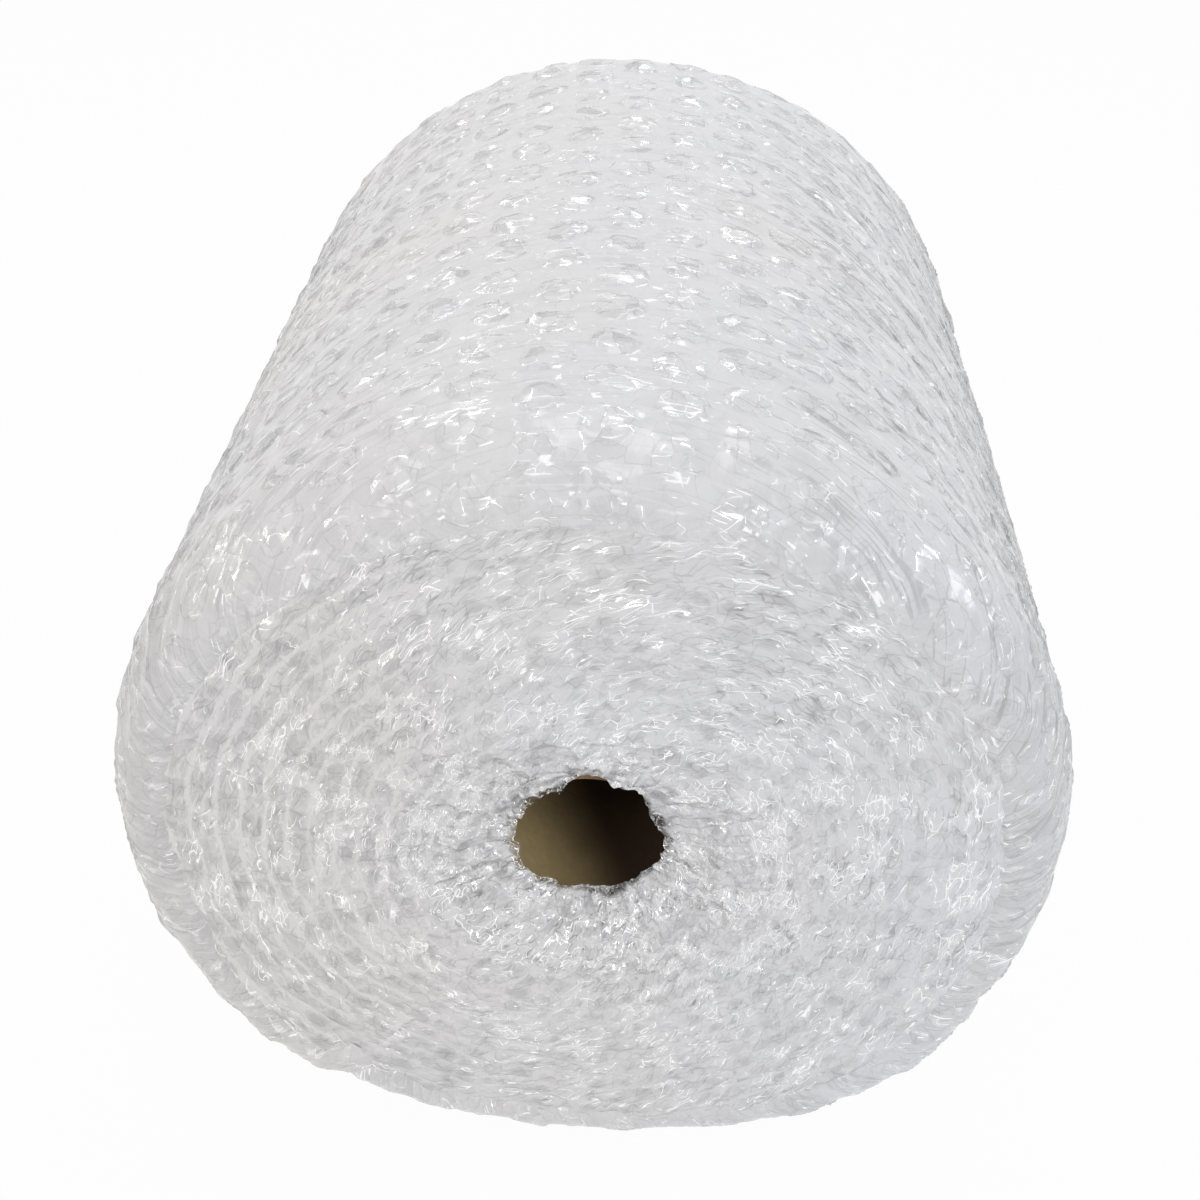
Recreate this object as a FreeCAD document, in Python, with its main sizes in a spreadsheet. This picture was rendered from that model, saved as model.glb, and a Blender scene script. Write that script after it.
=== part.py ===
import FreeCAD
import Part
import math
import os

# A roll of wide bubble film lying on its side, wound on a cardboard tube.
# Millimetres, +Z up. The roll's axis runs along Y and its near end is at -Y.
# The underside is flattened by the roll's own weight and rests on z = 0.

SETTINGS = [
    ("roll_radius", 218.0, "Axis to the crown of the bubbles beside the free end"),
    ("web_width", 457.2, "Width of the web, which is the length of the roll"),
    ("bubble_spacing", 31.0, "Centre to centre of neighbouring bubbles"),
    ("bubble_height", 5.0, "Crown of a bubble above the valley round it"),
    ("bubble_crown", 17.0, "Side of the flattened crown of a bubble"),
    ("turn_pitch", 10.35, "Thickness of one wound turn"),
    ("turn_groove", 4.0, "Depth between two turns on the end faces"),
    ("tail_step", 6.0, "Drop over the free end of the outer turn"),
    ("tail_angle", 218.0, "Free end, in degrees round from the top"),
    ("flat_depth", 7.0, "Height lost to the flat underside"),
    ("shoulder_length", 40.0, "Length of the soft rounding at the near end"),
    ("shoulder_drop", 17.0, "Radius lost to the soft rounding at the near face"),
    ("far_shoulder_length", 22.0, "Length of the rounding at the far end"),
    ("far_shoulder_drop", 6.0, "Radius lost to the rounding at the far face"),
    ("dish_depth", 16.0, "How far the end face sinks in at the tube"),
    ("dish_radius", 62.0, "Width of the sunken ring round the tube"),
    ("bore_radius", 38.1, "Inside radius of the tube, a three inch core"),
    ("tube_wall", 4.0, "Wall of the tube"),
    ("tube_recess", 20.0, "Tube end behind the end face of the film"),
    ("winding_clearance", 0.0, "The first turn is wound tight on the tube"),
]

END_SECTORS = 20
FLOOR_LEVEL = 0.0
WELD = 0.0001
HALF = 0.5
SNAP = 0.25


def make_sheet(doc):
    sheet = doc.addObject("Spreadsheet::Sheet", "Dimensions")
    for row, (alias, value, note) in enumerate(SETTINGS, start=1):
        sheet.set("A%d" % row, alias)
        sheet.set("B%d" % row, repr(value))
        sheet.set("C%d" % row, note)
        sheet.setAlias("B%d" % row, alias)
    doc.recompute()
    return sheet


class FilmForm:
    # Points and faces of the wound film, all taken from the sheet.

    def __init__(self, sheet):
        self.radius = float(sheet.roll_radius)
        self.width = float(sheet.web_width)
        self.height = float(sheet.bubble_height)
        self.crown = float(sheet.bubble_crown)
        self.pitch = float(sheet.turn_pitch)
        self.groove = float(sheet.turn_groove)
        self.step = float(sheet.tail_step)
        self.tail = math.radians(float(sheet.tail_angle))
        self.near_shoulder = (float(sheet.shoulder_length), float(sheet.shoulder_drop))
        self.far_shoulder = (float(sheet.far_shoulder_length), float(sheet.far_shoulder_drop))
        self.dish = float(sheet.dish_depth)
        self.dish_width = float(sheet.dish_radius)
        self.axis_height = self.radius - float(sheet.flat_depth)
        self.hub = float(sheet.bore_radius) + float(sheet.tube_wall) + float(sheet.winding_clearance)
        self.valley = self.radius - self.height
        self.make_lattice(float(sheet.bubble_spacing))
        self.faces = []

    def make_lattice(self, spacing):
        # Columns run along the axis and every other one is half a bubble on,
        # so their number is even and the spacing shrinks to fit it.
        column = spacing * math.sqrt(3.0) * HALF
        self.columns = 2 * round(math.pi * self.valley / column)
        self.slot = 2.0 * math.pi / self.columns
        self.spacing = 2.0 * math.pi * self.valley / self.columns * 2.0 / math.sqrt(3.0)
        self.rows = int((self.width - self.spacing * HALF) / self.spacing)
        self.start = -HALF * self.rows * self.spacing

    def softness(self, y):
        # Share of the radius that is left at this distance from the ends.
        length, drop = self.near_shoulder if y < 0 else self.far_shoulder
        inward = self.width * HALF - abs(y)
        share = max(0.0, 1.0 - inward / length)
        return 1.0 - drop / self.valley * share * share

    def point(self, phi, radius, y):
        # The angle is counted from the free end; what would be below the
        # floor is pressed flat on it.
        turn = self.tail + phi
        x = radius * math.sin(turn)
        z = self.axis_height + radius * math.cos(turn)
        return FreeCAD.Vector(x, y, max(z, FLOOR_LEVEL))

    def skin(self, phi, y):
        # A point in the valleys of the outer turn, which winds inwards by one
        # step between its free end and the same place a turn on.
        radius = self.valley - self.step * phi / (2.0 * math.pi)
        return self.point(phi, radius * self.softness(y), y)

    def add(self, corners):
        # One flat face, or triangles where the corners are not in one plane.
        kept = []
        for corner in corners:
            if not kept or (corner - kept[-1]).Length > WELD:
                kept.append(corner)
        if len(kept) > 1 and (kept[0] - kept[-1]).Length < WELD:
            kept.pop()
        if len(kept) < 3:
            return
        normal = (kept[1] - kept[0]).cross(kept[2] - kept[0])
        if normal.Length < WELD:
            return
        normal.normalize()
        if all(abs((corner - kept[0]).dot(normal)) < WELD * HALF for corner in kept[3:]):
            self.faces.append(Part.Face(Part.makePolygon(kept + [kept[0]])))
            return
        for index in range(1, len(kept) - 1):
            self.add([kept[0], kept[index], kept[index + 1]])

    def add_bubble(self, phi, y):
        third = self.slot / 3.0
        reach = self.spacing * HALF
        low = [self.skin(phi - third, y - reach), self.skin(phi + third, y - reach)]
        high = [self.skin(phi - third, y + reach), self.skin(phi + third, y + reach)]
        left = self.skin(phi - 2.0 * third, y)
        right = self.skin(phi + 2.0 * third, y)
        ring = low + [right] + list(reversed(high)) + [left]
        if all(corner.z - FLOOR_LEVEL < WELD for corner in ring):
            self.add(ring)
            return
        crown_low = self.crown_edge(phi, y - self.crown * HALF)
        crown_high = self.crown_edge(phi, y + self.crown * HALF)
        self.add([crown_low[0], crown_low[1], crown_high[1], crown_high[0]])
        self.add([low[0], low[1], crown_low[1], crown_low[0]])
        self.add([high[1], high[0], crown_high[0], crown_high[1]])
        self.add_flank(low[1], right, high[1], crown_low[1], crown_high[1])
        self.add_flank(high[0], left, low[0], crown_high[0], crown_low[0])

    def crown_edge(self, phi, y):
        # Parallel to the chord of the valley beside it, so that the crown and
        # the two end slopes stay flat.
        third = self.slot / 3.0
        turn = self.tail + phi
        first = self.valley - self.step * (phi - third) / (2.0 * math.pi)
        second = self.valley - self.step * (phi + third) / (2.0 * math.pi)
        soft = self.softness(y)
        start = FreeCAD.Vector(math.sin(turn - third), 0, math.cos(turn - third)) * (first * soft)
        end = FreeCAD.Vector(math.sin(turn + third), 0, math.cos(turn + third)) * (second * soft)
        chord = end - start
        chord.normalize()
        outward = FreeCAD.Vector(-chord.z, 0, chord.x)
        centre = (start + end) * HALF
        if outward.dot(centre) < 0:
            outward = outward * -1.0
        centre = centre + outward * self.height + FreeCAD.Vector(0, y, self.axis_height)
        edge = [centre - chord * (self.crown * HALF), centre + chord * (self.crown * HALF)]
        for corner in edge:
            corner.z = max(corner.z, FLOOR_LEVEL)
        return edge

    def add_flank(self, first, middle, last, crown_first, crown_last):
        self.add([first, middle, crown_first])
        self.add([middle, crown_last, crown_first])
        self.add([middle, last, crown_last])

    def add_skin(self):
        third = self.slot / 3.0
        end = -self.start
        for column in range(1, self.columns):
            phi = column * self.slot
            shift = HALF * (column % 2)
            count = self.rows - column % 2
            for row in range(count):
                self.add_bubble(phi, self.start + (row + HALF + shift) * self.spacing)
            if column % 2:
                inner = self.spacing * HALF
                for y, turn in ((self.start, inner), (end, -inner)):
                    self.add([
                        self.skin(phi - 2.0 * third, y),
                        self.skin(phi - third, y + turn),
                        self.skin(phi + third, y + turn),
                        self.skin(phi + 2.0 * third, y),
                    ])
        self.add_free_end()

    def add_free_end(self):
        # A plain strip on each side of the straight cut, and the cut itself.
        third = self.slot / 3.0
        whole = 2.0 * math.pi
        for row in range(self.rows):
            low = self.start + row * self.spacing
            middle = low + self.spacing * HALF
            high = low + self.spacing
            for base, side in ((0.0, 1.0), (whole, -1.0)):
                edge = [self.skin(base, low), self.skin(base, high)]
                near = [self.skin(base + side * third, low), self.skin(base + side * third, high)]
                tip = self.skin(base + side * 2.0 * third, middle)
                self.add([edge[0], near[0], tip])
                self.add([edge[0], tip, edge[1]])
                self.add([edge[1], tip, near[1]])
            self.add([self.skin(0.0, low), self.skin(0.0, high), self.skin(whole, high), self.skin(whole, low)])

    def rim_ring(self, y):
        # The border of the bubbled skin at one end, in order round the roll.
        third = self.slot / 3.0
        whole = 2.0 * math.pi
        ring = [(0.0, self.skin(0.0, y))]
        for column in range(0, self.columns, 2):
            phi = column * self.slot
            if column:
                ring.append((phi - third, self.skin(phi - third, y)))
            ring.append((phi + third, self.skin(phi + third, y)))
        ring.append((whole - third, self.skin(whole - third, y)))
        ring.append((whole, self.skin(whole, y)))
        return ring

    def zip_rings(self, first, second):
        # Triangles between two rings of (angle, point), both in order.
        closed_first = first + [(first[0][0] + 2.0 * math.pi, first[0][1])]
        closed_second = second + [(second[0][0] + 2.0 * math.pi, second[0][1])]
        one = 0
        two = 0
        while one < len(closed_first) - 1 or two < len(closed_second) - 1:
            next_one = closed_first[one + 1][0] if one < len(closed_first) - 1 else math.inf
            next_two = closed_second[two + 1][0] if two < len(closed_second) - 1 else math.inf
            corners = [closed_first[one][1], closed_second[two][1]]
            if next_one <= next_two:
                one += 1
                corners.append(closed_first[one][1])
            else:
                two += 1
                corners.append(closed_second[two][1])
            self.add(corners)

    def face_depth(self, radius):
        # How far the end face is sunk in at this radius, deepest at the tube.
        share = max(0.0, 1.0 - (radius - self.hub) / self.dish_width)
        return self.dish * share * share

    def add_end(self, side):
        inner = self.hub + self.pitch * HALF
        outer = (self.valley - self.step) * self.softness(side * self.width * HALF)
        turns = int((outer - inner) / self.pitch) + 2
        sectors = END_SECTORS
        sector = 2.0 * math.pi / sectors
        snap = SNAP * self.pitch

        def seam(turn, index):
            radius = inner + self.pitch * (turn - 1 + index / sectors)
            if radius < inner + snap:
                return inner
            if radius > outer - snap:
                return outer
            return radius

        def place(radius, index, sunk):
            y = side * (self.width * HALF - self.face_depth(radius) - sunk)
            return self.point(index * sector, radius, y)

        def seam_point(turn, index):
            radius = seam(turn, index)
            margin = min(radius - inner, outer - radius) / (self.pitch * HALF)
            return place(radius, index, self.groove * min(1.0, margin))

        def ridge_point(turn, index):
            near = seam(turn, index)
            far = seam(turn + 1, index)
            if far - near < WELD:
                return seam_point(turn, index)
            return place((near + far) * HALF, index, 0.0)

        for turn in range(turns + 1):
            for index in range(sectors):
                inside = [seam_point(turn, index), seam_point(turn, index + 1)]
                crest = [ridge_point(turn, index), ridge_point(turn, index + 1)]
                outside = [seam_point(turn + 1, index), seam_point(turn + 1, index + 1)]
                self.add([inside[0], inside[1], crest[1]])
                self.add([inside[0], crest[1], crest[0]])
                self.add([crest[0], crest[1], outside[1]])
                self.add([crest[0], outside[1], outside[0]])

        hub_ring = [place(inner, index, 0.0) for index in range(sectors)]
        self.add(hub_ring)
        rim = self.rim_ring(side * -self.start)
        border = [(index * sector, place(outer, index, 0.0)) for index in range(sectors)]
        self.zip_rings(rim, border)

    def solid(self):
        self.add_skin()
        for side in (-1.0, 1.0):
            self.add_end(side)
        skin = Part.Compound(self.faces)
        skin.sewShape()
        body = Part.Solid(skin.Shells[0])
        if body.Volume < 0:
            body.reverse()
        near = FreeCAD.Vector(0, -HALF * self.width, self.axis_height)
        bore = Part.makeCylinder(self.hub, self.width, near, FreeCAD.Vector(0, 1, 0))
        return body.cut(bore)


def add_tube(doc):
    outside = doc.addObject("Part::Cylinder", "tube_outside")
    outside.setExpression("Radius", "Dimensions.bore_radius + Dimensions.tube_wall")
    outside.setExpression("Height", "Dimensions.web_width - 2 * Dimensions.tube_recess")
    inside = doc.addObject("Part::Cylinder", "tube_inside")
    inside.setExpression("Radius", "Dimensions.bore_radius")
    inside.setExpression("Height", "Dimensions.web_width - 2 * Dimensions.tube_recess")
    tube = doc.addObject("Part::Cut", "core_tube")
    tube.Base = outside
    tube.Tool = inside
    tube.Label = "core_tube"
    tube.Placement.Rotation = FreeCAD.Rotation(FreeCAD.Vector(1, 0, 0), 90)
    tube.setExpression("Placement.Base.y", "Dimensions.web_width / 2 - Dimensions.tube_recess")
    tube.setExpression("Placement.Base.z", "Dimensions.roll_radius - Dimensions.flat_depth")
    return tube


def add_film(doc, sheet):
    # The turns and bubbles follow one formula that no sketch or primitive has.
    film = doc.addObject("Part::Feature", "bubble_film")
    film.Shape = FilmForm(sheet).solid()
    film.Label = "bubble_film"
    film.Placement = FreeCAD.Placement()
    return film


def check_states(doc):
    for item in doc.Objects:
        if "Invalid" in item.State or "Error" in item.State:
            raise RuntimeError("%s did not recompute" % item.Name)
        shape = getattr(item, "Shape", None)
        if shape is not None and (shape.isNull() or not shape.isValid()):
            raise RuntimeError("%s has a bad shape" % item.Name)


def build():
    doc = FreeCAD.newDocument("bubble_film_roll")
    sheet = make_sheet(doc)
    pieces = [add_tube(doc), add_film(doc, sheet)]
    doc.recompute()
    check_states(doc)
    os.makedirs("parts", exist_ok=True)
    for piece in pieces:
        piece.Shape.exportStep("parts/%s.step" % piece.Label)
        box = piece.Shape.BoundBox
        litres = piece.Shape.Volume / 1.0e6
        print(piece.Label, "faces", len(piece.Shape.Faces), "litres", round(litres, 4))
        print("  from", round(box.XMin, 2), round(box.YMin, 2), round(box.ZMin, 2))
        print("  to", round(box.XMax, 2), round(box.YMax, 2), round(box.ZMax, 2))


build()
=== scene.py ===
import bpy
import math
import numpy as np
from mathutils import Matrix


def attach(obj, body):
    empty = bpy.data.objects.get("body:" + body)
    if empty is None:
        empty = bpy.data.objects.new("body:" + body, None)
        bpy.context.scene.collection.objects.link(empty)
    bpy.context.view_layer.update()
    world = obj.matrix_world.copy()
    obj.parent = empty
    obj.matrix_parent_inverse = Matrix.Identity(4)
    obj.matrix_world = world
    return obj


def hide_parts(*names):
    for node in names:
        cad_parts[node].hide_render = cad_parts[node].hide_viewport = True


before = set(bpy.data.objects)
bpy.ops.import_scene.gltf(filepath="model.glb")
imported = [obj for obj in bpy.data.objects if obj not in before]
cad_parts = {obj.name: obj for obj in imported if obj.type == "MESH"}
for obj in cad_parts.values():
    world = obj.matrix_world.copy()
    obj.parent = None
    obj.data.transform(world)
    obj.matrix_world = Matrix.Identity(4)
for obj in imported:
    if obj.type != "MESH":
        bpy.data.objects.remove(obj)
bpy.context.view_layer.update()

# Roll of clear bubble film on a cardboard tube, lying on its side.
# The axis runs along Y, the near end is at -Y, metres throughout.

roll = {
    "crownRadius": 0.218,
    "bubbleHeight": 0.005,
    "halfWidth": 0.2286,
    "axisHeight": 0.211,
    "columns": 50,
    "rows": 14,
    "tailAngle": math.radians(218.0),
    "tailStep": 0.006,
    "turnPitch": 0.01035,
    "hubRadius": 0.0421,
    "tubeRecess": 0.020,
    "dishDepth": 0.016,
    "dishWidth": 0.062,
    "nearShoulder": (0.040, 0.017),
    "farShoulder": (0.022, 0.006),
    "floorGap": 0.0002,
}
roll["valley"] = roll["crownRadius"] - roll["bubbleHeight"]
roll["slot"] = 2 * math.pi / roll["columns"]
roll["spacing"] = roll["slot"] * roll["valley"] * 2 / math.sqrt(3)
roll["start"] = -0.5 * roll["rows"] * roll["spacing"]


# ---- number fields that shape the film ----

def softNoise(x, y, seed):
    table = np.random.default_rng(seed).random((256, 256))
    column = np.floor(x).astype(int)
    row = np.floor(y).astype(int)
    alongX = x - column
    alongY = y - row
    alongX = alongX * alongX * (3 - 2 * alongX)
    alongY = alongY * alongY * (3 - 2 * alongY)

    def corner(stepX, stepY):
        return table[(column + stepX) % 256, (row + stepY) % 256]

    low = corner(0, 0) * (1 - alongX) + corner(1, 0) * alongX
    high = corner(0, 1) * (1 - alongX) + corner(1, 1) * alongX
    return low * (1 - alongY) + high * alongY


def creased(x, y, cell, seed, pull=1.0):
    # Lower envelope of tilted facets, as thin film creases: about 0 to 1.
    generator = np.random.default_rng(seed)
    shiftX, shiftY, slopeX, slopeY, level = (generator.random((128, 128)) for part in range(5))
    gridX = x / cell
    gridY = y / cell
    column = np.floor(gridX).astype(int)
    row = np.floor(gridY).astype(int)
    best = np.full(x.shape, 9.0)
    for stepX in (-1, 0, 1):
        for stepY in (-1, 0, 1):
            a = (column + stepX) % 128
            b = (row + stepY) % 128
            offX = gridX - (column + stepX) - 0.2 - 0.6 * shiftX[a, b]
            offY = gridY - (row + stepY) - 0.2 - 0.6 * shiftY[a, b]
            facet = 0.35 * level[a, b] + (slopeX[a, b] - 0.5) * offX + (slopeY[a, b] - 0.5) * offY
            best = np.minimum(best, facet + pull * (offX * offX + offY * offY))
    return best


def ridged(x, y, seed):
    return 1 - np.abs(2 * softNoise(x, y, seed) - 1)


def softStep(low, high, value):
    share = np.clip((value - low) / (high - low), 0, 1)
    return share * share * (3 - 2 * share)


def nearestBubble(phi, along, turned=0.0, slid=0.0):
    # Offsets in metres from the nearest bubble, and that bubble's numbers.
    phi = phi + turned
    along = along + slid
    base = np.floor(phi / roll["slot"]).astype(int)
    best = None
    for step in (0, 1):
        column = base + step
        shift = 0.5 * (column % 2)
        row = np.round((along - roll["start"]) / roll["spacing"] - 0.5 - shift)
        round_ = (phi - column * roll["slot"]) * roll["valley"]
        ahead = along - roll["start"] - (row + 0.5 + shift) * roll["spacing"]
        far = np.hypot(round_, ahead)
        found = [far, round_, ahead, column % roll["columns"], row.astype(int) + 4]
        if best is None:
            best = found
        else:
            nearer = far < best[0]
            best = [np.where(nearer, new, old) for new, old in zip(found, best)]
    return best


# ---- building helpers ----

def clearSelection():
    if bpy.context.mode != "OBJECT":
        bpy.ops.object.mode_set(mode="OBJECT")
    bpy.ops.object.select_all(action="DESELECT")


def selectOnly(piece):
    clearSelection()
    piece.select_set(True)
    bpy.context.view_layer.objects.active = piece


def changeAll(piece, change):
    # Runs one mesh operator on the whole of the piece.
    selectOnly(piece)
    bpy.ops.object.mode_set(mode="EDIT")
    bpy.ops.mesh.select_all(action="SELECT")
    change()
    bpy.ops.object.mode_set(mode="OBJECT")


def gridSheet(name, across, along, shaped):
    # A grid, laid out by a function of its two shares, 0 to 1.
    clearSelection()
    bpy.ops.mesh.primitive_grid_add(x_subdivisions=across, y_subdivisions=along, size=1)
    sheet = bpy.context.object
    sheet.name = name
    sheet.data.name = name
    flat = np.empty(len(sheet.data.vertices) * 3)
    sheet.data.vertices.foreach_get("co", flat)
    flat = flat.reshape(-1, 3)
    places, values = shaped(flat[:, 0] + 0.5, flat[:, 1] + 0.5)
    sheet.data.vertices.foreach_set("co", np.ascontiguousarray(places, dtype=np.float32).ravel())
    corners = np.empty(len(sheet.data.loops), dtype=np.int32)
    sheet.data.loops.foreach_get("vertex_index", corners)
    for layer in list(sheet.data.uv_layers):
        sheet.data.uv_layers.remove(layer)
    for key, value in values.items():
        value = np.ascontiguousarray(value, dtype=np.float32)
        if value.ndim == 1:
            sheet.data.attributes.new(key, "FLOAT", "POINT").data.foreach_set("value", value)
        elif value.shape[1] == 3:
            sheet.data.attributes.new(key, "FLOAT_VECTOR", "POINT").data.foreach_set("vector", value.ravel())
        else:
            sheet.data.uv_layers.new(name=key).data.foreach_set("uv", value[corners].ravel())
    sheet.data.update()
    return sheet


def faceOutwards(piece, outward):
    # outward gives the wanted direction at each face centre.
    count = len(piece.data.polygons)
    normals = np.empty(count * 3)
    centres = np.empty(count * 3)
    piece.data.polygons.foreach_get("normal", normals)
    piece.data.polygons.foreach_get("center", centres)
    normals = normals.reshape(-1, 3)
    wanted = outward(centres.reshape(-1, 3))
    if (normals * wanted).sum() < 0:
        changeAll(piece, bpy.ops.mesh.flip_normals)


def weld(piece, reach=0.00001):
    changeAll(piece, lambda: bpy.ops.mesh.remove_doubles(threshold=reach))


def smooth(piece, degrees):
    selectOnly(piece)
    bpy.ops.object.shade_smooth_by_angle(angle=math.radians(degrees))


def awayFromAxis(points):
    out = points.copy()
    out[:, 1] = 0
    out[:, 2] -= roll["axisHeight"]
    return out / np.maximum(np.linalg.norm(out, axis=1), 1e-9)[:, None]


def place(phi, radius, y):
    turn = roll["tailAngle"] + phi
    x = radius * np.sin(turn)
    z = roll["axisHeight"] + radius * np.cos(turn)
    return np.stack([x, y, np.maximum(z, roll["floorGap"])], axis=1)


# ---- shader helpers ----

class Link:
    # A socket that adds Math nodes when it is used in a sum.
    def __init__(self, finish, socket):
        self.finish = finish
        self.socket = socket

    def math(self, operation, first, second):
        return self.finish.add("Math", {"operation": operation}, {0: first, 1: second})

    def __add__(self, other):
        return self.math("ADD", self, other)

    def __radd__(self, other):
        return self.math("ADD", other, self)

    def __sub__(self, other):
        return self.math("SUBTRACT", self, other)

    def __rsub__(self, other):
        return self.math("SUBTRACT", other, self)

    def __mul__(self, other):
        return self.math("MULTIPLY", self, other)

    def __rmul__(self, other):
        return self.math("MULTIPLY", other, self)


class Finish:
    # One material and the nodes that are added to it.
    def __init__(self, name):
        self.material = bpy.data.materials.new(name)
        self.material.use_nodes = True
        self.tree = self.material.node_tree
        self.shader = self.tree.nodes["Principled BSDF"]

    def add(self, kind, settings=None, values=None, output=0):
        node = self.tree.nodes.new("ShaderNode" + kind)
        for key, value in (settings or {}).items():
            if key == "stops":
                ramp = node.color_ramp
                while len(ramp.elements) < len(value):
                    ramp.elements.new(0.5)
                for element, (position, shade) in zip(ramp.elements, value):
                    element.position = position
                    element.color = (shade, shade, shade, 1)
            else:
                setattr(node, key, value)
        for key, value in (values or {}).items():
            self.join(value, node.inputs[key])
        return Link(self, node.outputs[output])

    def join(self, value, socket):
        if isinstance(value, Link):
            self.tree.links.new(value.socket, socket)
        else:
            socket.default_value = value

    def set(self, **values):
        for key, value in values.items():
            self.join(value, self.shader.inputs[key.replace("_", " ")])

    def blend(self, share, first, second):
        node = self.add("Mix", {"data_type": "RGBA"}, {0: share}, 2)
        for value, slot in ((first, 6), (second, 7)):
            value = (*value, 1) if isinstance(value, tuple) else value
            self.join(value, node.socket.node.inputs[slot])
        return node


def wear(piece, finish):
    piece.data.materials.clear()
    piece.data.materials.append(finish.material)


# ---- film finish ----

filmLook = {
    # paleWarm and paleCool are the film's pale colour under a painted warm light tint and a painted cool light tint.
    "paleWarm": (0.850, 0.826, 0.818),
    "paleCool": (0.820, 0.830, 0.862),
    "grey": (0.36, 0.36, 0.365),
    # gleam is the near-white colour of the painted glints.
    "gleam": (0.98, 0.98, 0.98),
    "roughness": 0.17,
    "bend": 1.45,
    "foldScale": 58.0,
    "facetSlope": 0.24,
    "maskScale": 150.0,
    "strokeLevel": 0.575,
    "wander": 0.007,
}


def filmFinish(name, look, stretch, creaseScale, gather, fewer):
    # Clear film looks milky in many layers, with thin grey folds and painted glints: crisp white highlight strokes
    # along the creases.
    finish = Finish(name)
    where = finish.add("UVMap", {"uv_map": "flat"})
    wound = finish.add("UVMap", {"uv_map": "wound"})

    def field(name, output=2):
        return finish.add("Attribute", {"attribute_name": name}, output=output)

    def rise(value, low, high):
        return finish.add("MapRange", {}, {0: value, 1: low, 2: high})

    def parts(colour):
        node = finish.add("SeparateColor", {}, {0: colour}).socket.node
        return [Link(finish, socket) for socket in node.outputs]

    def noise(vector, scale, detail, size="2D"):
        values = {"Vector": vector, "Scale": scale, "Detail": detail}
        return finish.add("TexNoise", {"noise_dimensions": size}, values, 1)

    def cells2D(feature, vector, scale, output=0):
        settings = {"feature": feature, "voronoi_dimensions": "2D"}
        return finish.add("TexVoronoi", settings, {"Vector": vector, "Scale": scale}, output)

    def lineAt(value, level, width):
        away = finish.add("Math", {"operation": "ABSOLUTE"}, {0: value - level})
        return rise(away, width, width * 0.4)

    def either(first, second):
        return finish.add("Math", {"operation": "MAXIMUM"}, {0: first, 1: second})

    drift = noise(where, 55.0, 0.0)
    wander = (look["wander"], look["wander"], 0.0)
    moved, bent = [finish.add("VectorMath", {"operation": "MULTIPLY_ADD"}, {0: drift, 1: wander, 2: start})
                   for start in (where, wound)]
    warped = finish.add("VectorMath", {"operation": "MULTIPLY"}, {0: bent, 1: stretch})
    turned = finish.add("VectorRotate", {}, {"Vector": moved, "Angle": 0.65})
    edges = cells2D("DISTANCE_TO_EDGE", bent, creaseScale)
    cells = cells2D("F1", bent, creaseScale, 1)
    folds = cells2D("DISTANCE_TO_EDGE", turned, look["foldScale"])
    ring, glow, tone, shine, strength, crumple = [
        field(key) for key in ("ring", "glow", "tone", "shine", "strength", "crumple")]
    hairs = parts(noise(field("fold", 1), 1.0, 1.5, "3D"))
    masks = parts(noise(warped, look["maskScale"], 1.5))
    clouds = parts(noise(where, 48.0, 3.0))
    shade = parts(cells)

    # Painted highlights: where glintField is high, white glint strokes are painted into the colour.
    lit = shine * 0.16 + (clouds[1] - 0.5) * gather
    glintField = masks[0] + lit
    level = look["strokeLevel"]
    glints = rise(edges, 0.040, 0.012) * rise(glintField, level + fewer, level + fewer + 0.05)
    glints = either(glints, lineAt(hairs[1], 0.5, 0.013) * rise(masks[1] + lit, 0.56 - fewer, 0.60 - fewer))
    glints = either(glints, lineAt(hairs[2], 0.44, 0.012) * rise(masks[2] + lit, 0.59 - fewer, 0.63 - fewer))
    glints = either(glints, lineAt(hairs[1], 0.40, 0.012) * rise(masks[0] + lit, 0.60 - fewer, 0.64 - fewer))
    # Painted highlight arcs along the bubble rims, where glow is set.
    glints = either(glints, lineAt(ring, 0.74, 0.050) * glow * rise(masks[2], 0.44, 0.52))
    # Painted sheen: soft pale patches around the painted glints.
    paintedSheen = rise(glintField, level - 0.07, level + 0.10) * rise(masks[2], 0.42, 0.58)
    glints = finish.add("Clamp", {}, {"Value": glints})
    grey = rise(folds, 0.040, 0.012) * rise(masks[1], 0.52, 0.42) * 0.30 * crumple
    grey = either(grey, lineAt(hairs[0], 0.5, 0.022) * strength * rise(clouds[1], 0.36, 0.48))
    grey = either(grey, lineAt(ring, 1.0, 0.060) * strength * rise(masks[2], 0.42, 0.54) * 0.75)
    grey = either(grey, rise(edges, 0.050, 0.018) * rise(masks[2], 0.54, 0.44) * 0.30 * crumple)
    grey = either(grey, lineAt(masks[1], 0.47, 0.020) * crumple * 0.16)
    pale = (lineAt(hairs[2], 0.5, 0.020) * 0.16 + lineAt(masks[0], 0.5, 0.022) * crumple * 0.16
            + lineAt(masks[2], 0.53, 0.022) * crumple * 0.13 + paintedSheen * 0.42)
    # tone brings in painted shade along with the film's own tone.
    dark = tone + grey + (clouds[0] - 0.5) * 0.26 + (shade[0] - 0.5) * 0.20 * crumple - pale
    dark = finish.add("Clamp", {}, {"Value": dark})
    milky = finish.blend(dark, finish.blend(field("hue"), look["paleWarm"], look["paleCool"]), look["grey"])

    centre = Link(finish, cells.socket.node.outputs["Position"])
    away = finish.add("VectorMath", {"operation": "SUBTRACT"}, {0: bent, 1: centre})
    tilt = finish.add("VectorMath", {"operation": "SUBTRACT"}, {0: cells, 1: (0.5, 0.5, 0.5)})
    facet = finish.add("VectorMath", {"operation": "DOT_PRODUCT"}, {0: tilt, 1: away}, 1)
    height = facet * (2 * look["facetSlope"]) * crumple
    finish.set(Normal=finish.add("Bump", {}, {"Height": height, "Strength": 1.0, "Distance": 1.0}))
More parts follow.
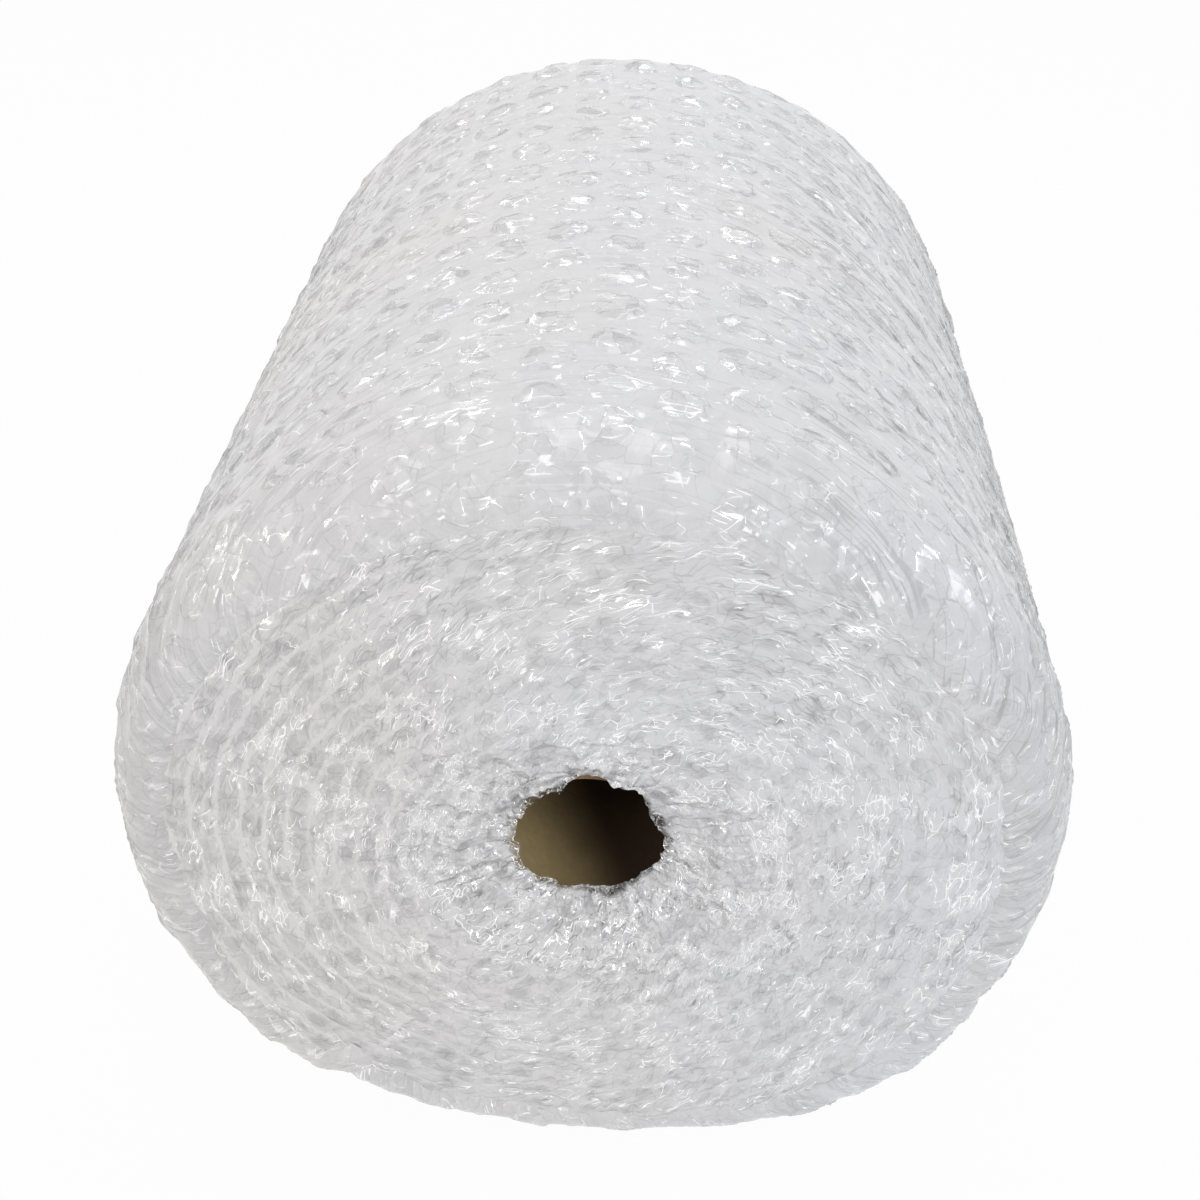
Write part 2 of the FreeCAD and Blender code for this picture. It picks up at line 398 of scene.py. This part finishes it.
    # The painted glint strokes are near-white in colour and mostly metallic, so they also reflect the white
    # surroundings.
    finish.set(Base_Color=finish.blend(glints, milky, look["gleam"]), Metallic=glints * 0.9)
    finish.set(Roughness=clouds[2] * 0.12 + (look["roughness"] - 0.06), IOR=look["bend"])
    if name == "filmEnd":
        finish.set(Alpha=finish.add("Clamp", {}, {"Value": either(field("cover"), glints + grey * 1.6)}))
    return finish


film = filmFinish("film", filmLook, (1.0, 0.8, 1.0), 128.0, 0.25, 0.0)
filmEnd = filmFinish("filmEnd", filmLook, (0.44, 1.0, 1.0), 150.0, 0.95, 0.03)


# ---- outer turn, with both soft shoulders ----

outerTurn = {
    "along": 230,
    "breaks": [(0.0, 0.65, 76), (0.65, 4.31, 420), (4.31, 2 * math.pi + 0.10, 240)],
    "base": roll["valley"] + 0.0022,
    "bubbleRadius": 0.0122,
    "domeHeight": 0.0026,
    "nearBend": 0.0143,
    "farBend": 0.0070,
    "overlap": 0.014,
    "taper": 0.014,
    "sag": 0.0050,
    "moreRight": 0.0030,
    "filmGap": 0.0006,
}


def shoulderLine(shoulder, bend, samples=1200):
    # Web profile from the middle to an end face: web length, y and drop.
    length, lost = shoulder
    top = roll["halfWidth"] - 0.001
    near = np.linspace(0, roll["halfWidth"], 4000)
    share = np.maximum(0, 1 - (roll["halfWidth"] - near) / length)
    steep = np.arctan(2 * lost * share / length)
    start = near[np.argmax(near + bend * (1 - np.sin(steep)) > top)]
    straight = np.linspace(0, start, samples)
    share = np.maximum(0, 1 - (roll["halfWidth"] - straight) / length)
    drop = lost * share * share
    first = math.atan(2 * lost * share[-1] / length)
    turn = np.linspace(first, math.pi / 2, 200)[1:]
    arcY = start + bend * (np.sin(turn) - math.sin(first))
    arcDrop = drop[-1] + bend * (math.cos(first) - np.cos(turn))
    inward = np.linspace(0, outerTurn["overlap"], 40)[1:]
    y = np.concatenate([straight, arcY, arcY[-1] + 0 * inward])
    drop = np.concatenate([drop, arcDrop, arcDrop[-1] + inward])
    length = np.concatenate([[0], np.cumsum(np.hypot(np.diff(y), np.diff(drop)))])
    return [length, y, drop, np.gradient(y, length), np.gradient(drop, length), arcDrop[-1]]


lines = {-1: shoulderLine(roll["nearShoulder"], outerTurn["nearBend"]),
         1: shoulderLine(roll["farShoulder"], outerTurn["farBend"])}


def lampTintAt(x, across):
    # Painted light tint: warm grey on the left, cool on the right, in soft patches, as coloured light falls on the two
    # sides.
    return np.clip(0.5 + 1.9 * x + 0.55 * (softNoise(x * 12 + 60, across * 12 + 60, 71) - 0.5), 0, 1)


def sagAt(phi):
    # A soft roll bulges a little above the flat that it lies on.
    turn = (roll["tailAngle"] + phi) % (2 * math.pi) - math.pi
    below = np.abs(turn)
    most = outerTurn["sag"] + outerTurn["moreRight"] * (turn < 0)
    return most * softStep(1.25, 0.85, below) * softStep(0.15, 0.6, below)


def filmRelief(phi, web, settings):
    # Height of the outer turn over its base, and the fields that its finish reads.
    arc = phi * roll["valley"]
    turn = roll["tailAngle"] + phi
    side = (turn - 2 * math.pi) * roll["valley"]
    right = softStep(0.05, 0.75, np.sin(turn))
    left = softStep(0.15, 0.85, -np.sin(turn))
    pull = np.where(side > 0, 3.3, 4.2)
    held = np.clip(side, -1.15 / pull, 1.0 / pull)
    slant = pull * held
    across = web - np.log(np.cos(slant)) / pull + np.tan(slant) * (side - held)
    dice = np.random.default_rng(11).random((roll["columns"], roll["rows"] + 8, 20))
    far, round_, ahead, column, row = nearestBubble(phi, web)
    own = dice[column, np.clip(row, 0, roll["rows"] + 7)]
    lean = slant * 0.9 + 0.5 * (own[:, 0] - 0.5)
    u = round_ * np.cos(lean) - ahead * np.sin(lean)
    v = round_ * np.sin(lean) + ahead * np.cos(lean)
    power = 2 - 0.5 * right
    wide = settings["bubbleRadius"] * (0.80 + 0.14 * own[:, 1] + 0.34 * right + 0.10 * left)
    deep = settings["bubbleRadius"] * (0.78 + 0.16 * own[:, 2] - 0.08 * right)
    rho = ((np.abs(u) / wide) ** power + (np.abs(v) / deep) ** power) ** (1 / power)
    rho = rho + 0.22 * (softNoise(arc * 110, web * 110, 5) - 0.5)
    high = settings["domeHeight"] * (0.55 + 0.6 * own[:, 4])
    dome = high * np.clip(1 - np.clip(rho, 0, 1) ** 2.6, 0, 1) ** 0.8
    for cut in range(4):
        direction = own[:, 5 + cut] * 2 * math.pi
        level = 0.38 + 0.5 * own[:, 9 + cut]
        tilt = 0.25 + 0.65 * own[:, 13 + cut]
        plane = high * (level + tilt * (np.cos(direction) * u + np.sin(direction) * v) / settings["bubbleRadius"])
        dome = np.minimum(dome, np.maximum(plane, 0.10 * high))
    inside = softStep(1.08, 0.85, rho)
    edge = softStep(0.165, 0.235, -web) + softStep(0.205, 0.235, web)
    pinch = creased(arc + 0.3, web + 0.3, 0.0065, 21, 0.7) * 0.0010 * inside
    folds = ridged(across * 90, side * 9 + 40, 31) ** 3 * (0.0002 + 0.0009 * right + 0.0005 * left)
    slack = (softNoise(arc * 9, web * 8, 41) - 0.5) * 0.0012
    fine = creased(arc, web, 0.012, 43, 0.5) * 0.0004
    rumple = creased(arc + 0.7, web + 0.7, 0.021, 45, 0.5) * 0.0026 * edge
    rumple = rumple + creased(arc + 0.9, web + 0.9, 0.009, 46, 0.5) * 0.0012 * edge
    height = dome * (1 - 0.4 * edge) + pinch + folds + slack + fine + rumple
    streaks = ridged(across * 75, side * 5 + 40, 53) ** 5 * (0.02 + 0.18 * right + 0.20 * left) * (1 - 0.7 * edge)
    ghost = nearestBubble(phi, web, 0.061, 0.011)[0] / settings["bubbleRadius"]
    ghost = np.exp(-((ghost - 0.7) / 0.30) ** 2) * 0.05
    sides = right + left
    flank = softStep(0.68, 0.98, np.abs(np.sin(turn)))
    values = {
        "ring": rho,
        # glow places painted highlight arcs at the near and far rims of each bubble.
        "glow": softStep(0.35, 0.75, np.abs(ahead) / settings["bubbleRadius"])
                * (own[:, 18] > 0.25) * (1 - 0.6 * sides),
        # Painted shade: the film is darker towards both flanks and on the left, where less light falls; streaks, ghost
        # bubbles and per-bubble tone are its own.
        "tone": streaks + ghost + 0.05 * inside * own[:, 17] + 0.08 * left + 0.05 * edge
                + (0.34 + 0.22 * softNoise(across * 60, side * 6 + 40, 54)) * flank * (1 - 0.72 * edge),
        "shine": inside * (0.25 + 0.60 * own[:, 19]) * (1 - 0.35 * sides) - 0.50 * edge - 0.42 * (1 - edge),
        "crumple": np.maximum((0.12 + 0.88 * inside) * (1 - 0.45 * edge), 0.26 * edge),
        "hue": lampTintAt(roll["valley"] * np.sin(turn), roll["valley"] * np.cos(turn) + roll["halfWidth"] - np.abs(web))
               - 0.45 * flank * (web > -0.15) * right,
        "strength": (0.13 + 0.62 * right + 0.36 * left) * (1 - 0.65 * edge) + 0.08 * edge,
        "fold": np.stack([across * 105, side * 9, 0 * side], axis=1),
    }
    return height, values


def outerPart(lowTurn, highTurn):
    def shaped(shareAround, shareAlong):
        phi = lowTurn + (highTurn - lowTurn) * shareAround
        signed = 2 * shareAlong - 1
        sign = np.where(signed < 0, -1.0, 1.0)
        loose = softNoise(phi * 5, sign * 3 + 7, 61) * 0.6 + softNoise(phi * 17, sign * 3 + 9, 62) * 0.4
        loose = loose * softStep(0.0, 0.08, phi) * softStep(2 * math.pi + 0.04, 2 * math.pi - 0.04, phi)
        isNear = sign < 0
        nearLine, farLine = lines[-1], lines[1]
        reach = np.where(isNear, nearLine[0][-1], farLine[0][-1]) - outerTurn["overlap"] * 0.5 * loose
        web = signed * reach
        size = np.abs(web)
        y, drop, slopeY, slopeDrop = [
            np.where(isNear, np.interp(size, nearLine[0], nearLine[part]), np.interp(size, farLine[0], farLine[part]))
            for part in range(1, 5)]
        height, values = filmRelief(phi, web, outerTurn)
        fromEdge = reach - size
        height = height * (0.4 + 0.6 * softStep(0.0, 0.012, fromEdge)) - 0.0042 * softStep(0.0075, 0.0, fromEdge) ** 2
        freeEnd = softStep(0.0, outerTurn["taper"], phi * roll["valley"])
        under = softStep(2 * math.pi - 0.05, 2 * math.pi, phi)
        height = height * (0.3 + 0.7 * freeEnd) * (1 - 0.8 * under)
        radius = outerTurn["base"] + sagAt(phi) - roll["tailStep"] * phi / (2 * math.pi) - drop + height * slopeY
        radius = radius - (1 - freeEnd) * (roll["tailStep"] - outerTurn["filmGap"]) - outerTurn["filmGap"] * under
        values["flat"] = np.stack([phi * roll["valley"], web], axis=1)
        values["wound"] = values["flat"]
        return place(phi, radius, sign * (y + height * slopeDrop)), values
    return shaped


outerPieces = []
for number, (low, high, around) in enumerate(outerTurn["breaks"]):
    piece = gridSheet("outerTurn%d" % (number + 1), around, outerTurn["along"], outerPart(low, high))
    faceOutwards(piece, awayFromAxis)
    smooth(piece, 40)
    wear(piece, film)
    outerPieces.append(piece)
print("outer turn shaped")


# ---- end faces: the crushed edges of the turns ----

endFace = {
    "around": 640,
    "across": 140,
    "ridge": 0.0011,
    "cell": 0.0125,
    "tuck": 0.006,
    "foldScale": 235,
    "meanRadius": 0.105,
    "diceCount": 4096,
}


def endShape(side, seed):
    inner = roll["hubRadius"] + 0.5 * roll["turnPitch"]

    def shaped(shareAround, shareAcross):
        angle = 2 * math.pi * shareAround
        turn = roll["tailAngle"] + angle
        freeEnd = softStep(0.0, outerTurn["taper"], angle * roll["valley"])
        gap = outerTurn["filmGap"]
        step = (roll["tailStep"] * shareAround + (roll["tailStep"] - gap) * (1 - freeEnd)
                - gap * softStep(0.985, 1.0, shareAround))
        border = outerTurn["base"] + sagAt(angle) - lines[int(side)][5] - step
        outer = border + endFace["tuck"] * 0.5
        up = np.cos(turn)
        bare = softStep(0.80, 0.97, np.cos(turn - 0.16))
        hole = 0.0300 + 0.0030 * (1 - up * up) + 0.0030 * up + 0.0072 * bare
        rag = (softNoise(turn * 3, turn * 0 + 3.5, seed + 7) - 0.5) * 0.0046
        rag = rag + (softNoise(turn * 9, turn * 0 + 8.5, seed + 8) - 0.5) * 0.0034
        seam = softStep(0.0, 0.03, shareAround) * softStep(1.0, 0.97, shareAround)
        hole = hole + rag * seam
        radius = hole + (outer - hole) * shareAcross ** 1.1
        x = radius * np.sin(turn)
        z = radius * np.cos(turn)
        wave = (softNoise(x * 34 + 50, z * 34 + 50, seed) - 0.5) * 0.005
        wave = wave + (softNoise(x * 110 + 50, z * 110 + 50, seed + 1) - 0.5) * 0.0018
        phase = (radius + wave - inner) / roll["turnPitch"] - angle / (2 * math.pi)
        turnNumber = np.floor(phase)
        within = phase - turnNumber
        total = angle + 2 * math.pi * turnNumber
        arc = inner * total + roll["turnPitch"] * total * total / (4 * math.pi)
        dice = np.random.default_rng(seed + 2).random((endFace["diceCount"], 6))
        cellAt = arc / endFace["cell"]
        cellNumber = np.floor(cellAt).astype(int)
        own = dice[cellNumber % endFace["diceCount"]]
        round_ = 2 * (cellAt - cellNumber) - 1
        over = 2 * within - 1
        rho = np.sqrt(round_ * round_ + over * over)
        rho = rho + 0.25 * (softNoise(x * 130 + 50, z * 130 + 50, seed + 11) - 0.5)
        pocket = softStep(1.05, 0.45, rho)
        core = softStep(0.105, 0.055, radius)
        middle = softStep(0.17, 0.09, radius)
        creaseWide = creased(x + 0.5, z + 0.5, 0.019, seed + 9, 0.5)
        creaseLarge = creased(x + 0.5, z + 0.5, 0.0085, seed + 3, 0.7)
        creaseSmall = creased(x + 0.5, z + 0.5, 0.0042, seed + 4, 0.7)
        swell = (softNoise(x * 22 + 50, z * 22 + 50, seed + 6) - 0.5) * 0.0030
        pleats = ridged(turn * 11 + 40, radius * 60, seed + 12) * 0.0018 * core * seam
        slanted = 5 * turn + 6 * softStep(0.03, 0.11, radius) * np.sin(2 * (turn + 0.17))
        height = endFace["ridge"] * (1 - over ** 2) + pocket * (own[:, 0] - 0.7) * 0.0018 + swell + pleats
        height = height + creaseWide * (0.0022 + 0.0020 * core) + creaseLarge * (0.0016 + 0.0012 * core)
        height = height + creaseSmall * 0.0008 - 0.0016
        level = softStep(-0.004, 0.002, radius - border)
        share = np.maximum(0, 1 - (radius - roll["hubRadius"]) / roll["dishWidth"])
        lip = softStep(0.040, 0.036, radius)
        sunk = (roll["dishDepth"] * np.minimum(share, 1.0) ** 2 + lip * 0.0016
                + 0.0034 * bare * softStep(0.049, 0.043, radius))
        y = roll["halfWidth"] - 0.0013 - sunk + height * (1 - level) - level * 0.0004
        y = y - 0.35 * np.maximum(radius - border - 0.001, 0)
        y = np.maximum(y, roll["halfWidth"] - roll["tubeRecess"] + 0.0003)
        places = np.stack([x, side * y, roll["axisHeight"] + z], axis=1)
        wound = softStep(0.30, 0.75, softNoise(x * 26 + 50, z * 26 + 50, seed + 13))
        leftSide = softStep(-0.03, -0.13, x)
        mouth = softStep(0.075, 0.045, radius)
        flap = softStep(0.42, 0.60, softNoise(x * 160 + 50, z * 160 + 50, seed + 14))
        between = softStep(0.72, 0.98, np.abs(over)) * (0.12 + 0.20 * leftSide + 0.08 * wound)
        square = softStep(1.0, 0.75, np.maximum(np.abs(round_), np.abs(over))) * leftSide
        inside = radius + 0.003 * (flap - 0.5) + 0.0050 * softStep(0.1, -0.8, up)
        scale = endFace["foldScale"]
        values = {
            "ring": rho,
            "glow": 0.55 * (own[:, 1] > 0.5) * softStep(0.2, 0.7, np.abs(over)),
            # On the end face the same field is darker in the pockets, on the left, round the core and above the mouth.
            "tone": pocket * (0.06 + 0.20 * own[:, 2]) * (1 - 0.6 * leftSide) + square * (0.04 + 0.22 * own[:, 3])
                    + 0.08 * softStep(0.35, 0.2, creaseLarge) + 0.12 * core * (1 - creaseWide * 2)
                    + 0.09 * leftSide - between + 0.02
                    + mouth * 0.22 * softStep(-0.2, 0.6, up)
                    * softStep(0.40, 0.62, softNoise(x * 60 + 50, z * 60 + 50, seed + 15)),
            "shine": -0.17 - 0.22 * leftSide + 0.25 * middle + 0.45 * core + 0.5 * lip
                     + 0.9 * (softNoise(x * 34 + 50, z * 34 + 50, seed + 10) - 0.45),
            "strength": (0.24 + 0.30 * wound + 0.25 * mouth) * (1 - 0.5 * leftSide) + 0.5 * lip,
            "crumple": 0.80 + 0.20 * core,
            "hue": lampTintAt(x, z) - 0.25 * leftSide,
            "fold": np.stack([7 * np.sin(turn), 7 * np.cos(turn), radius * scale - slanted + 0.35 * rho], axis=1),
            "cover": np.maximum(0.05 + 0.28 * flap, softStep(0.0350, 0.0392, inside)),
            "flat": np.stack([x, z], axis=1),
            "wound": np.stack([angle * endFace["meanRadius"], radius - slanted / scale], axis=1),
        }
        return places, values
    return shaped


endPieces = []
for name, side, seed in (("nearEnd", -1.0, 101), ("farEnd", 1.0, 201)):
    piece = gridSheet(name, endFace["around"], endFace["across"], endShape(side, seed))
    weld(piece)
    faceOutwards(piece, lambda points, side=side: np.tile([0.0, side, 0.0], (len(points), 1)))
    smooth(piece, 40)
    wear(piece, filmEnd)
    endPieces.append(piece)
print("end faces shaped")


# ---- cardboard tube ----

tubeLook = {
    "board": (0.80, 0.625, 0.325),
    "dark": (0.52, 0.39, 0.19),
    # deep is the near-black colour of the painted shade inside the tube.
    "deep": (0.030, 0.014, 0.004),
    "rim": (0.42, 0.265, 0.135),
    "roughness": 0.85,
    "seamPitch": 0.085,
}


def boardFinish(look):
    finish = Finish("cardboard")
    where = finish.add("TexCoord", output=3)
    apart = finish.add("SeparateXYZ", {}, {0: where})
    x, y, z = [Link(finish, socket) for socket in apart.socket.node.outputs]
    around = finish.add("Math", {"operation": "ARCTAN2"}, {0: z - roll["axisHeight"], 1: x}) * (1 / (2 * math.pi))
    wound = finish.add("Math", {"operation": "FRACT"}, {0: y * (1 / look["seamPitch"]) + around})
    seam = finish.add("ValToRGB", {"stops": [(0.0, 1.0), (0.012, 1.0), (0.03, 0.0), (1.0, 0.0)]}, {"Fac": wound})
    fibre = finish.add("TexNoise", {}, {"Vector": where, "Scale": 260.0, "Detail": 5.0, "Roughness": 0.7})
    blotch = finish.add("TexNoise", {}, {"Vector": where, "Scale": 28.0, "Detail": 3.0})
    share = finish.add("Clamp", {}, {"Value": (fibre - 0.5) * 1.1 + (blotch - 0.5) * 0.7 + seam * 0.55 + 0.25})
    depth = finish.add("Math", {"operation": "ABSOLUTE"}, {0: y})
    # Painted shade: the inside of the tube darkens deeper in and towards the right, to near black.
    paintedShade = finish.add("MapRange", {"interpolation_type": "SMOOTHSTEP"}, {0: depth * 0.7 - x * 2.2, 1: 0.205, 2: 0.095})
    ended = finish.add("MapRange", {}, {0: depth, 1: 0.2080, 2: 0.2084})
    board = finish.blend(ended, finish.blend(share, look["board"], look["dark"]), look["rim"])
    finish.set(Base_Color=finish.blend(paintedShade, board, look["deep"]))
    bump = finish.add("Bump", {}, {"Height": fibre * 0.5 - seam * 0.8, "Strength": 0.5, "Distance": 0.0004})
    finish.set(Roughness=fibre * 0.15 + (look["roughness"] - 0.08), Normal=bump)
    return finish


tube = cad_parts["core_tube"]
wear(tube, boardFinish(tubeLook))
print("tube finished")


# ---- stage, light and camera ----

studio = {
    "floorSize": 12.0,
    "floorColour": (0.86, 0.86, 0.86),
    "whiteShare": 0.96,
    "worldStrength": 0.50,
    "lamps": [
        ("topSoft", (0.15, 0.35, 2.3), (1.2, 0.9), 9.0, (1.0, 1.0, 1.0)),
        ("frontLeft", (-1.3, -1.5, 1.5), (0.3, 0.3), 2.4, (1.0, 0.955, 0.92)),
        ("frontRight", (1.4, -1.3, 1.6), (0.3, 0.3), 2.5, (0.90, 0.945, 1.0)),
        ("frontHigh", (-0.3, -1.7, 2.0), (0.4, 0.2), 2.0, (1.0, 1.0, 1.0)),
        ("lowLeft", (-1.1, -1.8, 0.45), (0.3, 0.3), 2.0, (1.0, 0.955, 0.92)),
        ("lowRight", (1.0, -1.9, 0.5), (0.3, 0.3), 2.0, (0.90, 0.945, 1.0)),
        ("lowFront", (0.1, -2.1, 0.7), (0.4, 0.2), 1.8, (1.0, 1.0, 1.0)),
        ("sideLeft", (-2.0, 0.2, 0.9), (0.3, 0.3), 2.0, (1.0, 0.955, 0.92)),
        ("sideRight", (2.0, 0.1, 1.0), (0.3, 0.3), 2.1, (0.88, 0.935, 1.0)),
        ("backHigh", (0.4, 1.7, 1.9), (0.35, 0.35), 2.2, (1.0, 1.0, 1.0)),
        ("backLeft", (-0.9, 1.6, 1.6), (0.3, 0.3), 1.8, (1.0, 1.0, 1.0)),
    ],
    "camera": (0.0291, -0.6689, 0.6974),
    "pitch": -37.28,
    "yaw": -3.03,
    "lens": 44.3,
}


def makeStage():
    clearSelection()
    bpy.ops.mesh.primitive_plane_add(size=studio["floorSize"], location=(0, 0, 0))
    floor = bpy.context.object
    floor.name = "floor"
    finish = Finish("floorPaint")
    finish.set(Base_Color=(*studio["floorColour"], 1), Roughness=0.9)
    rays = finish.add("LightPath")
    node = rays.socket.node
    seen = Link(finish, node.outputs["Is Camera Ray"])
    for kind in ("Is Glossy Ray", "Is Transmission Ray"):
        seen = finish.add("Math", {"operation": "MAXIMUM"}, {0: seen, 1: Link(finish, node.outputs[kind])})
    glow = finish.add("Emission", {}, {"Color": (1, 1, 1, 1), "Strength": 1.0})
    mixed = finish.add("MixShader", {}, {0: seen * studio["whiteShare"], 1: Link(finish, finish.shader.outputs[0]), 2: glow})
    output = finish.tree.nodes["Material Output"]
    finish.tree.links.new(mixed.socket, output.inputs["Surface"])
    wear(floor, finish)
    world = bpy.data.worlds.new("studio")
    bpy.context.scene.world = world
    world.use_nodes = True
    tree = world.node_tree
    background = tree.nodes["Background"]
    background.inputs["Color"].default_value = (1, 1, 1, 1)
    path = tree.nodes.new("ShaderNodeLightPath")
    first = tree.nodes.new("ShaderNodeMath")
    first.operation = "MAXIMUM"
    tree.links.new(path.outputs["Is Camera Ray"], first.inputs[0])
    tree.links.new(path.outputs["Is Glossy Ray"], first.inputs[1])
    second = tree.nodes.new("ShaderNodeMath")
    second.operation = "MAXIMUM"
    tree.links.new(first.outputs[0], second.inputs[0])
    tree.links.new(path.outputs["Is Transmission Ray"], second.inputs[1])
    level = tree.nodes.new("ShaderNodeMapRange")
    level.inputs["To Min"].default_value = studio["worldStrength"]
    level.inputs["To Max"].default_value = 1.0
    tree.links.new(second.outputs[0], level.inputs["Value"])
    tree.links.new(level.outputs[0], background.inputs["Strength"])


def aim(thing, target):
    away = np.array(target) - np.array(thing.location)
    flat = math.hypot(away[0], away[1])
    thing.rotation_euler = (math.atan2(flat, -away[2]), 0, math.atan2(away[1], away[0]) - math.pi / 2)


def makeLamps():
    for name, where, size, power, colour in studio["lamps"]:
        lamp = bpy.data.lights.new(name, "AREA")
        lamp.shape = "RECTANGLE"
        lamp.size, lamp.size_y = size
        lamp.energy = power
        lamp.color = colour
        thing = bpy.data.objects.new(name, lamp)
        thing.location = where
        bpy.context.scene.collection.objects.link(thing)
        aim(thing, (0, 0, 0.2))


def makeCamera():
    view = bpy.data.cameras.new("view")
    view.lens = studio["lens"]
    view.sensor_width = 36
    thing = bpy.data.objects.new("view", view)
    thing.location = studio["camera"]
    thing.rotation_euler = (math.radians(90 + studio["pitch"]), 0, math.radians(-studio["yaw"]))
    bpy.context.scene.collection.objects.link(thing)
    bpy.context.scene.camera = thing


makeStage()
makeLamps()
makeCamera()
bpy.context.scene.view_settings.view_transform = "Standard"

for piece in outerPieces + endPieces:
    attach(piece, "root")
    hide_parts("bubble_film")

print("scene ready")
